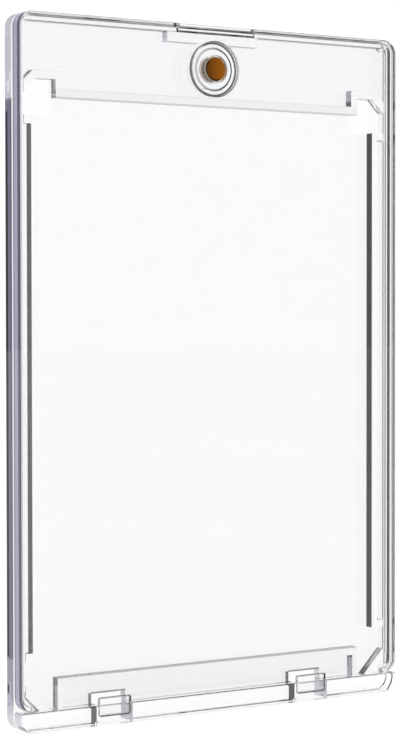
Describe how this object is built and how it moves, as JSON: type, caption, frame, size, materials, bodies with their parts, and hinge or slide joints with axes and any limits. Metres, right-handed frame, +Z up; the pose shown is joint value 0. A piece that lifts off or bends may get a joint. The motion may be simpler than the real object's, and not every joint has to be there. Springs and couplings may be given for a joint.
{
  "type": "trading card display case",
  "caption": "Clear hinged display case for a single trading card: a rear shell with a ribbed card pocket and a hooked front cover held shut by magnets.",
  "frame": {"origin": "centre of the bottom edge, half way through the thickness", "axes": "+X across the width, +Y from the front cover to the rear shell, +Z up"},
  "size_m": [0.0724, 0.005, 0.1108],
  "materials": {
    "clear_shell": "clear polished acrylic",
    "clear_cover": "clear polished acrylic",
    "plated_magnet": "bronze-gold plated, polished"
  },
  "bodies": {
    "case_back": {"rear_shell": "clear_shell", "rear_magnet": "plated_magnet"},
    "cover": {"front_cover": "clear_cover", "front_magnet": "plated_magnet"}
  },
  "joints": [
    {"name": "cover_hinge", "type": "hinge", "parent": "case_back", "child": "cover", "pos_m": [0, -0.00225, 0.00345], "axis": [1, 0, 0], "range_deg": [0, 40]}
  ]
}
